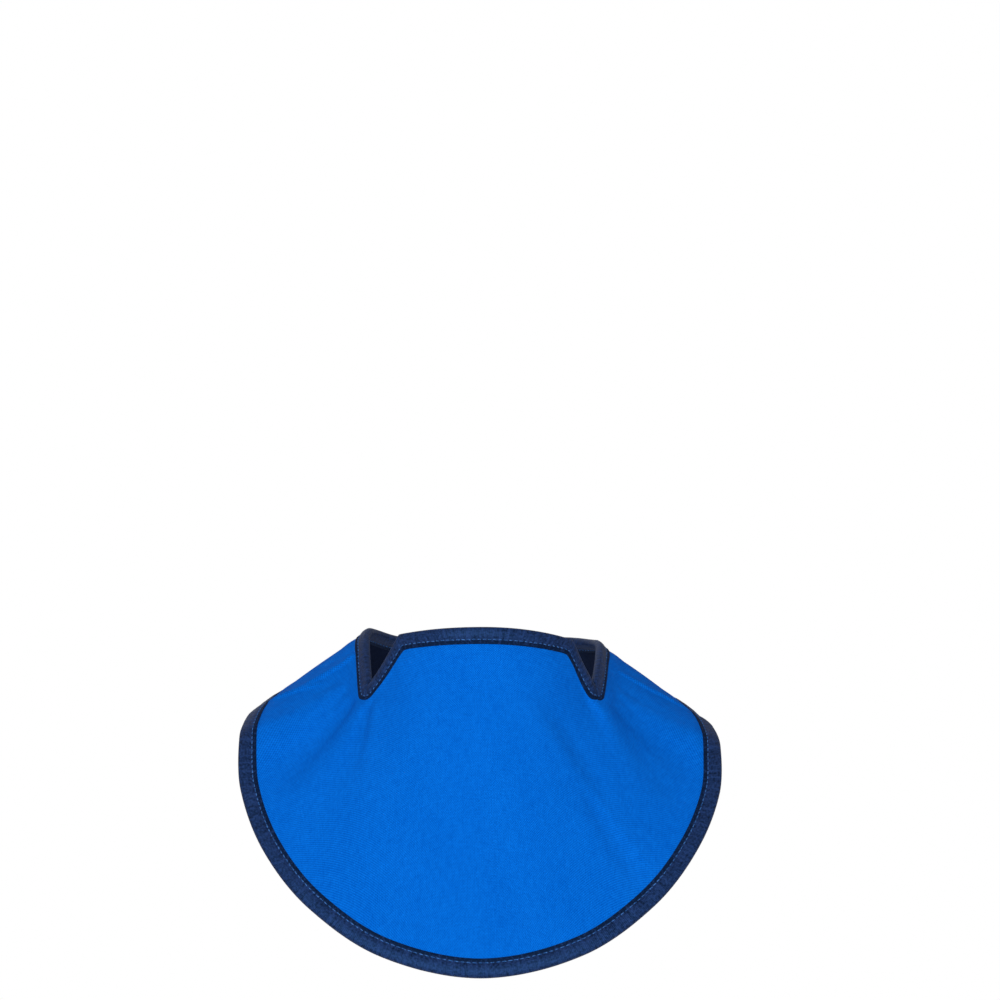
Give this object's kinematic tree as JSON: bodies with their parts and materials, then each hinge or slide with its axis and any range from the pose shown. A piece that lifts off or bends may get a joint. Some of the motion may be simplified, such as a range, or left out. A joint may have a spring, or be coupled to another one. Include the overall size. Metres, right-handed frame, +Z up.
{
  "type": "thyroid shield collar",
  "caption": "Bib-shaped radiation shielding neck collar with a raised throat tab, side notches, bound edges and a closure behind the neck.",
  "frame": {"origin": "middle of the neck opening, where the collar rests on the wearer's shoulders round the neck", "axes": "+Z up, -Y towards the front where the bib hangs, +X to the right of someone looking at the front"},
  "size_m": [0.2582, 0.2162, 0.1801],
  "materials": {
    "panel_cloth": "bright blue coated woven cloth over a flexible shielding core",
    "binding_tape": "navy satin binding tape with a row of blue lockstitch",
    "closure_strip": "dark navy hook-and-loop strip"
  },
  "bodies": {
    "root": {"shield_panel": "panel_cloth", "neck_binding": "binding_tape", "hem_binding": "binding_tape", "back_closure": "closure_strip"}
  },
  "joints": []
}
